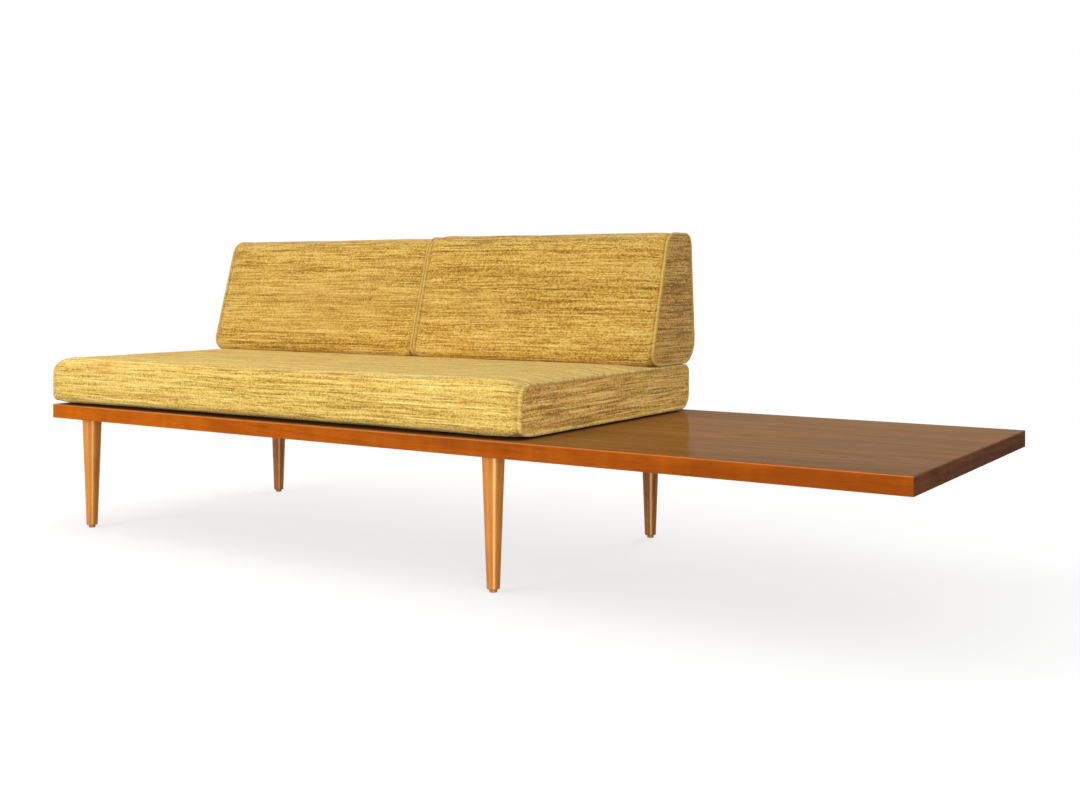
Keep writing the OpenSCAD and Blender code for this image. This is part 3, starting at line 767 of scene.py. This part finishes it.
def input_name(group, name):
    """The identifier of a node group's input."""
    return next(i.identifier for i in group.interface.items_tree if i.name == name and i.in_out == "INPUT")


def run_group(group, path_mesh, name, values, surface):
    """Runs a node group on a mesh of paths, and returns its result as a plain object."""
    holder = show(name + "_paths", path_mesh)
    modifier = holder.modifiers.new("Repeat", "NODES")
    modifier.node_group = group
    for key, value in values.items():
        modifier[input_name(group, key)] = value
    bpy.context.view_layer.update()
    seen = holder.evaluated_get(bpy.context.evaluated_depsgraph_get())
    mesh = bpy.data.meshes.new_from_object(seen)
    mesh.name = name
    mesh.materials.clear()
    mesh.materials.append(surface)
    bpy.data.objects.remove(holder)
    return show(name, mesh)


def stitch_group(thread):
    """Stitches of thread an even distance apart along each path."""
    tree = bpy.data.node_groups.new("topstitching", "GeometryNodeTree")
    face = tree.interface
    face.new_socket("Geometry", in_out="INPUT", socket_type="NodeSocketGeometry")
    for name, value in (("Pitch", STITCH_PITCH), ("Length", STITCH_LENGTH), ("Thickness", THREAD)):
        face.new_socket(name, in_out="INPUT", socket_type="NodeSocketFloat").default_value = value
    face.new_socket("Geometry", in_out="OUTPUT", socket_type="NodeSocketGeometry")
    source = put(tree, "NodeGroupInput")
    thickness = source.outputs["Thickness"]
    line = put(tree, "GeometryNodeMeshToCurve", {0: source.outputs["Geometry"]})
    spots = put(tree, "GeometryNodeCurveToPoints",
                {"Curve": line.outputs[0], "Length": source.outputs["Pitch"]}, mode="LENGTH")
    turn = put(tree, "FunctionNodeAlignRotationToVector", {"Vector": spots.outputs["Tangent"]}, axis="Z")
    body = put(tree, "GeometryNodeMeshUVSphere", {"Segments": 6, "Rings": 4, "Radius": 0.5})
    uneven = put(tree, "FunctionNodeRandomValue", {2: 0.88, 3: 1.1, "Seed": 7}, data_type="FLOAT")
    length = times(tree, source.outputs["Length"], uneven.outputs[1])
    size = put(tree, "ShaderNodeCombineXYZ", {0: thickness, 1: thickness, 2: length})
    placed = put(tree, "GeometryNodeInstanceOnPoints",
                 {"Points": spots.outputs[0], "Instance": body.outputs[0],
                  "Rotation": turn.outputs[0], "Scale": size.outputs[0]})
    real = put(tree, "GeometryNodeRealizeInstances", {0: placed.outputs[0]})
    coated = put(tree, "GeometryNodeSetMaterial", {"Geometry": real.outputs[0], "Material": thread})
    put(tree, "NodeGroupOutput", {0: coated.outputs[0]})
    return tree


def paths_mesh(name, rows):
    """Closed paths through rows of points, as a mesh of edges."""
    points, edges = [], []
    for row in rows:
        start = len(points)
        points += [tuple(p) for p in row]
        edges += [(start + k, start + (k + 1) % len(row)) for k in range(len(row))]
    mesh = bpy.data.meshes.new(name)
    mesh.from_pydata(points, edges, [])
    return mesh


# ---------------------------------------------------------------- the three cushions

def corner_of(name):
    """The low and the high corner of a construction node."""
    low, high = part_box(name)
    return np.array(low), np.array(high)


def moved_sides(corners, amounts):
    """A clockwise outline's corners after side k, which follows corner k, moves in by its amount."""
    corners = [np.array(c, float) for c in corners]
    lines = []
    for index, corner in enumerate(corners):
        along = corners[(index + 1) % len(corners)] - corner
        along /= np.linalg.norm(along)
        lines.append((corner + np.array([along[1], -along[0]]) * amounts[index], along))
    out = []
    for index, (place, along) in enumerate(lines):
        other, across = lines[index - 1]
        share = np.linalg.solve(np.column_stack([along, -across]), other - place)
        out.append(place + along * share[0])
    return out


seat_low, seat_high = corner_of("seat_cover")
seat_ends = corner_of("seat_end_left")[0][0], corner_of("seat_end_right")[1][0]

# Where the covers lie flat: each pair is where that starts, and where it is complete
LIES_WITHIN = 0.02                  # how near its rest a point of a cover must be to lie on it
SEAT_FLAT_SIDES = 0.030, 0.060      # in from an end
SEAT_FLAT_FRONT = 0.078, 0.110      # in from the front, on the veneer
SEAT_FLAT_BACK = 0.035, 0.070       # in from the back, on the veneer
SEAT_FLAT_ZIP = 0.020, 0.004        # from the tape's edge on the back
LOADED = 0.145, 0.185               # on Y, under the bolsters' front
LOADED_SIDES = -0.006, 0.030        # in from an end, under the bolsters
LOADED_BACK = 0.030, 0.055          # in from the back, under the bolsters
BOLSTER_FLAT_SIDES = 0.016, 0.045   # in from an end
BOLSTER_FLAT_FRONT = 0.030, 0.060   # in from the front
BOLSTER_FLAT_BACK = 0.020, 0.060    # in from the seat's back
BOLSTER_ZIP_FOOT = 0.030, 0.043     # heights on a bolster's back, below its zip
BOLSTER_ZIP_HEAD = 0.095, 0.078     # heights on a bolster's back, above its zip
BOLSTER_BACK_SWELL = 0.0025         # furthest that a bolster's back may stand out


def drawn(values, level, share, near):
    """The values, drawn to a level by a share where near holds."""
    return np.where(near, values * (1 - share) + level * share, values)


def seat_rests(points):
    """The seat lies flat on the veneer, flat under the bolsters, and flat along its zip."""
    y, z = points[..., 1], points[..., 2]
    edge = np.minimum(points[..., 0] - seat_ends[0], seat_ends[1] - points[..., 0])
    inside = smooth(edge, *SEAT_FLAT_SIDES)
    from_front, from_back = y - seat_low[1], seat_high[1] - y

    bottom = inside * smooth(from_front, *SEAT_FLAT_FRONT) * smooth(from_back, *SEAT_FLAT_BACK)
    z = drawn(z, seat_low[2], bottom, z < seat_low[2] + LIES_WITHIN)
    z = np.maximum(z, seat_low[2])

    loaded = smooth(y, *LOADED)
    z = np.where(z > seat_high[2], seat_high[2] + (z - seat_high[2]) * (1 - loaded), z)
    top = loaded * smooth(edge, *LOADED_SIDES) * smooth(from_back, *LOADED_BACK)
    z = drawn(z, seat_high[2], top, z > seat_high[2] - LIES_WITHIN)

    zip_low, zip_high = corner_of("seat_zip")
    from_zip = np.maximum(zip_low[2] - z, z - zip_high[2])
    beside = smooth(from_zip, *SEAT_FLAT_ZIP)
    y = drawn(y, seat_high[1], beside * inside, y > seat_high[1] - LIES_WITHIN)
    y = np.minimum(y, seat_high[1])
    return np.stack([points[..., 0], y, z], -1)


# How round the seat's section is, over its length and at its seams. The corners in order: the back's
# top and foot, the point where the underside's front begins to rise, the front's foot and its top
SEAT_ROUNDS = 0.020, 0.036, 0.30, 0.018, 0.034
SEAT_SEAM_ROUNDS = 0.020, 0.040, 0.30, 0.014, 0.034
SEAT_FOOT = 0.088, 0.010            # how far back the underside begins to rise, and how high
SEAT_SPINE = 0.077, 0.062           # from the front and the back to the end panels' middle lines
SEAT_POINTS = 176                   # around the section
SEAT_ROW = 0.0105                   # from one row of the wrapped panel to the next
SEAT_END_ROWS = 6


def make_seat():
    """The seat's cover and core. Its left end stands forward, and its right seam sits back."""
    back, foot, top = seat_high[1], seat_low[2], seat_high[2]
    middle = (foot + top) / 2

    def spine(points):
        places = np.clip(points[:, 0], seat_low[1] + SEAT_SPINE[0], back - SEAT_SPINE[1])
        return np.column_stack([places, np.full(SEAT_POINTS, middle)])

    # For each end: the front's place, how far its seam stays behind it, the back's rise, the seam's X.
    # The sides that move in are, in order: back, underside, its rising front, front and top.
    shapes = ((seat_low[1] - 0.008, 0.010, 0.0005, seat_ends[0] - 0.018),
              (seat_low[1] + 0.002, 0.020, 0.0045, seat_ends[1] + 0.012))
    ends = []
    for front, set_back, rise, x in shapes:
        corners = [(back, top + rise), (back, foot), (front + SEAT_FOOT[0], foot),
                   (front, foot + SEAT_FOOT[1]), (front, top + 0.002)]
        full = rounded_section(moved_sides(corners, (0.002, 0.0, 0.0, 0.002, 0.0)),
                               SEAT_ROUNDS, SEAT_POINTS, (back, middle))
        inner = moved_sides(corners, (0.004, 0.007, 0.004, set_back, 0.010))
        ends.append((straight_in(full, spine(full), inner, SEAT_SEAM_ROUNDS), full, x))

    cover = Cover("seat_cover_sewn", *ends, spine, SEAT_ROW, SEAT_END_ROWS)
    cover.swell()
    cover.points = seat_rests(cover.points)
    core = foam_core("seat_foam_core", cover.points, CORE_GAP)
    cover.sew()
    cover.ripple(5.0)
    cover.points = seat_rests(cover.points)
    return cover, core


def bolster_corners(forward, lower):
    """A bolster's wedge in (y, z). Its front stands forward, and its top is lower, by so much."""
    low, high = corner_of("left_bolster_cover")
    foot, top = low[2], high[2] - lower
    rear = seat_high[1] + BOLSTER_OVERHANG
    wedge = ((rear - BOLSTER_LEAN, top), (rear, foot), (rear - BOLSTER_BASE - forward, foot),
             (rear - BOLSTER_LEAN - BOLSTER_TOP - forward, top))
    return [np.array(c) for c in wedge]


def bolster_rests(points):
    """A bolster lies flat on the seat and is flat along its zip."""
    top_rear, rear_foot, front_foot = bolster_corners(0.0, 0.0)[:3]
    x, y, z = points[..., 0], points[..., 1], points[..., 2]
    inside = smooth(np.minimum(x - x.min(), x.max() - x), *BOLSTER_FLAT_SIDES)
    from_front, from_back = y - front_foot[0], seat_high[1] - y
    bottom = inside * smooth(from_front, *BOLSTER_FLAT_FRONT) * smooth(from_back, *BOLSTER_FLAT_BACK)
    z = drawn(z, rear_foot[1], bottom, z < rear_foot[1] + LIES_WITHIN)
    z = np.maximum(z, rear_foot[1])

    up = (top_rear - rear_foot) / np.linalg.norm(top_rear - rear_foot)
    back = np.array([up[1], -up[0]])
    from_foot = np.stack([y - rear_foot[0], z - rear_foot[1]], -1)
    climb, stand = from_foot @ up, from_foot @ back
    beside = inside * smooth(climb, *BOLSTER_ZIP_FOOT) * smooth(climb, *BOLSTER_ZIP_HEAD)
    wanted = drawn(stand, 0.0, beside, stand > -LIES_WITHIN)
    wanted = np.minimum(wanted, BOLSTER_BACK_SWELL * (1 - beside))
    y = y + (wanted - stand) * back[0]
    z = z + (wanted - stand) * back[1]
    return np.stack([x, y, z], -1)


# How round a bolster's section is, over its length and at its seams. The corners in order: the
# back's top and foot, and the front's foot and top
BOLSTER_ROUNDS = 0.026, 0.040, 0.015, 0.036
BOLSTER_SEAM_ROUNDS = 0.028, 0.064, 0.034, 0.046
BOLSTER_SPINE = 0.105, 0.064        # from the foot and the top to the end panels' middle lines
BOLSTER_POINTS = 112                # around the section
BOLSTER_ROW = 0.0098                # from one row of the wrapped panel to the next
BOLSTER_END_ROWS = 10
PEAK_WIDTH = 0.034                  # half the width, along X, over which a top rises
PEAK_DEPTH = 0.070, 0.020           # below the top, where that rise starts and is complete


def make_bolster(side, seed, seams, limits, forwards, insets, lower=0.0, peak=None):
    """A bolster's cover and core, between its two seams on X and pressed to lie within limits.
    forwards is how far the front stands forward at the two ends, and insets how far the seams
    there stay behind the front and below the top. The top is lower by so much, and it rises by
    peak[1] around x = peak[0]."""
    foot_middle = sum(bolster_corners(0.0, lower)[1:3]) / 2
    top_middle = sum(bolster_corners(0.0, lower)[0::3]) / 2

    def spine(points):
        low, high = foot_middle[1] + BOLSTER_SPINE[0], top_middle[1] - BOLSTER_SPINE[1]
        heights = np.clip(points[:, 1], low, high)
        share = (heights - foot_middle[1]) / (top_middle[1] - foot_middle[1])
        return foot_middle + share[:, None] * (top_middle - foot_middle)

    ends = []                       # the sides that move in are back, underside, front and top
    for forward, (set_back, drop), x in zip(forwards, insets, seams):
        corners = bolster_corners(forward, lower)
        full = rounded_section(moved_sides(corners, (0.002, 0.0, 0.002, 0.002)),
                               BOLSTER_ROUNDS, BOLSTER_POINTS, foot_middle)
        inner = moved_sides(corners, (0.004, 0.001, set_back, drop))
        ends.append((straight_in(full, spine(full), inner, BOLSTER_SEAM_ROUNDS), full, x))

    cover = Cover(side + "_bolster_cover_sewn", *ends, spine, BOLSTER_ROW, BOLSTER_END_ROWS)
    cover.swell()
    if peak:
        x, z = cover.points[..., 0], cover.points[..., 2]
        near = smooth(z, *(z.max() - depth for depth in PEAK_DEPTH))
        near *= np.exp(-((x - peak[0]) / PEAK_WIDTH) ** 2)
        cover.points[..., 2] += peak[1] * near
    cover.points = bolster_rests(cover.points)
    cover.points[..., 0] = np.clip(cover.points[..., 0], *limits)
    core = foam_core(side + "_bolster_foam_core", cover.points, CORE_GAP)
    cover.sew()
    cover.ripple(seed)
    cover.points = bolster_rests(cover.points)
    cover.points[..., 0] = np.clip(cover.points[..., 0], *limits)
    return cover, core


division = (corner_of("left_bolster_end_right")[1][0] + corner_of("right_bolster_end_left")[0][0]) / 2
left_end = corner_of("left_bolster_end_left")[0][0]
right_end = corner_of("right_bolster_end_right")[1][0]
seat = make_seat()
left = make_bolster("left", 11.0, (left_end - 0.020, division - 0.0050),
                    limits=(left_end - 0.05, division - 0.0005), forwards=(0.015, 0.005),
                    insets=((0.006, 0.002), (0.006, -0.001)), lower=0.005)
right = make_bolster("right", 29.0, (division + 0.0050, right_end + 0.003),
                     limits=(division + 0.0005, right_end + 0.05), forwards=(0.005, -0.002),
                     insets=((0.006, 0.008), (0.010, 0.004)), peak=(division + 0.046, 0.0035))

# Each cushion's cover and core, its body, and where along the cloth its cover is cut
cushions = {
    "seat": (*seat, "seat_cushion", 0.0),
    "left_bolster": (*left, "left_bolster", 10.0),
    "right_bolster": (*right, "right_bolster", 20.0),
}
stitches = stitch_group(finish["thread"])
for key, (cover, core, body, offset) in cushions.items():
    sewn = cover.build(offset, finish["seat_tweed" if key == "seat" else "bolster_tweed"])
    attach(sewn, body)
    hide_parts(key + "_cover", key + "_end_left", key + "_end_right")
    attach(core, body)
    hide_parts(key + "_foam")
    rows = paths_mesh(key + "_stitch_rows", cover.stitched_rows())
    topstitching = run_group(stitches, rows, key + "_topstitching", {"Pitch": STITCH_PITCH},
                             finish["thread"])
    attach(topstitching, body)


# ---------------------------------------------------------------- finishes of the construction

def coat(names, key):
    """Gives the construction's nodes a finish."""
    for name in names:
        for slot in nodes[name].material_slots:
            slot.material = finish[key]


corners = ("front_left", "front_right", "rear_left", "rear_right")
coat(["top_veneer"], "top_lacquer")
coat(["front_rail", "rear_rail"], "edge_lacquer")
coat(["left_rail", "right_rail"], "end_lacquer")
coat(["deck_panel", "mitre_keys"], "plywood")
coat(["front_stiffener", "rear_stiffener", *("leg_block_" + c for c in corners)], "batten_wood")
coat([f"cross_batten_{n}" for n in range(1, 6)], "cross_wood")
coat([*("leg_plate_" + c for c in corners), "plate_screws", "hanger_bolts"], "steel")
coat(["leg_" + c for c in corners], "leg_lacquer")
coat(["glide_" + c for c in corners], "glide_nylon")
for key in cushions:
    coat([key + "_zip"], "zip_tape")
    coat([key + "_zip_slider", key + "_zip_pull"], "zip_metal")


# ---------------------------------------------------------------- stage, camera and light

def lamp(name, place, target, size, power, height=None):
    """A soft rectangular lamp that faces target."""
    light = bpy.data.lights.new(name, "AREA")
    light.shape = "RECTANGLE"
    light.size, light.size_y = size, height or size
    light.energy = power
    made = bpy.data.objects.new(name, light)
    made.location = place
    made.rotation_euler = (Vector(target) - Vector(place)).to_track_quat("-Z", "Y").to_euler()
    bpy.context.scene.collection.objects.link(made)
    return made


def seen_directly(tree):
    """1 for what the camera sees, straight, in gloss or through glass, and 0 for other light."""
    path = put(tree, "ShaderNodeLightPath").outputs
    gloss = calc(tree, "MAXIMUM", path["Is Glossy Ray"], path["Is Transmission Ray"])
    return calc(tree, "MAXIMUM", path["Is Camera Ray"], gloss)


def floor_material():
    """A pale floor that fades to white away from the daybed and keeps its shadow."""
    made, tree = material("pale floor")
    place = object_place(tree)
    away = put(tree, "ShaderNodeVectorMath", {0: place}, operation="LENGTH").outputs["Value"]
    far = ramp(tree, calc(tree, "DIVIDE", away, 8.0), (0.22, 0), (0.5, 1))
    seen = seen_directly(tree)
    matt = put(tree, "ShaderNodeBsdfDiffuse", {"Color": (0.36, 0.36, 0.36, 1)})
    glow = put(tree, "ShaderNodeEmission", {"Color": (1, 1, 1, 1), "Strength": times(tree, seen, 0.68)})
    near = put(tree, "ShaderNodeAddShader", {0: matt.outputs[0], 1: glow.outputs[0]})
    white = put(tree, "ShaderNodeEmission", {"Color": (1, 1, 1, 1), "Strength": seen})
    both = put(tree, "ShaderNodeMixShader", {0: far, 1: near.outputs[0], 2: white.outputs[0]})
    put(tree, "ShaderNodeOutputMaterial", {"Surface": both.outputs[0]})
    return made


FLOOR_REACH = 12.0
floor_corners = [(x * FLOOR_REACH, y * FLOOR_REACH, 0) for x, y in ((-1, -1), (1, -1), (1, 1), (-1, 1))]
floor_mesh = bpy.data.meshes.new("floor")
floor_mesh.from_pydata(floor_corners, [], [(0, 1, 2, 3)])
floor_mesh.materials.append(floor_material())
show("floor", floor_mesh)

world = bpy.data.worlds.new("studio")
world.use_nodes = True
world.node_tree.nodes.clear()
AMBIENT = 0.60             # the white surround's light on the daybed, where the camera sees 1
seen = seen_directly(world.node_tree)
level = calc(world.node_tree, "MAXIMUM", seen, AMBIENT)
surround = put(world.node_tree, "ShaderNodeBackground", {"Color": (1, 1, 1, 1), "Strength": level})
put(world.node_tree, "ShaderNodeOutputWorld", {"Surface": surround.outputs[0]})
bpy.context.scene.world = world

# Soft lamps at the front left, the right, above and behind. The side lamp leaves no mirror image on
# the table top, and the low gloss lamp gives only the shine on the legs and the rails.
lamp("key", (-1.9, -3.8, 0.9), (-0.4, 0, 0.4), 1.6, 81)
lamp("side", (2.6, -3.0, 1.0), (0.2, 0, 0.4), 0.9, 50).visible_glossy = False
lamp("overhead", (-1.1, -0.4, 2.7), (-0.7, -0.1, 0.4), 2.0, 24)
lamp("back", (0.2, 4.2, 2.6), (0.0, 0.2, 0.4), 2.0, 50)
lamp("gloss", (3.1, -3.2, 0.17), (0.0, 0, 0.15), 0.38, 500, 0.33).visible_diffuse = False

camera = bpy.data.cameras.new("camera")
camera.lens = 43.53
camera.sensor_width = 36
camera.shift_y = -0.1178
viewer = bpy.data.objects.new("camera", camera)
viewer.location = (1.9438, -2.7670, 0.7001)
viewer.rotation_euler = (math.radians(90), 0, math.radians(33.276))
bpy.context.scene.collection.objects.link(viewer)
bpy.context.scene.camera = viewer
bpy.context.scene.view_settings.view_transform = "Standard"
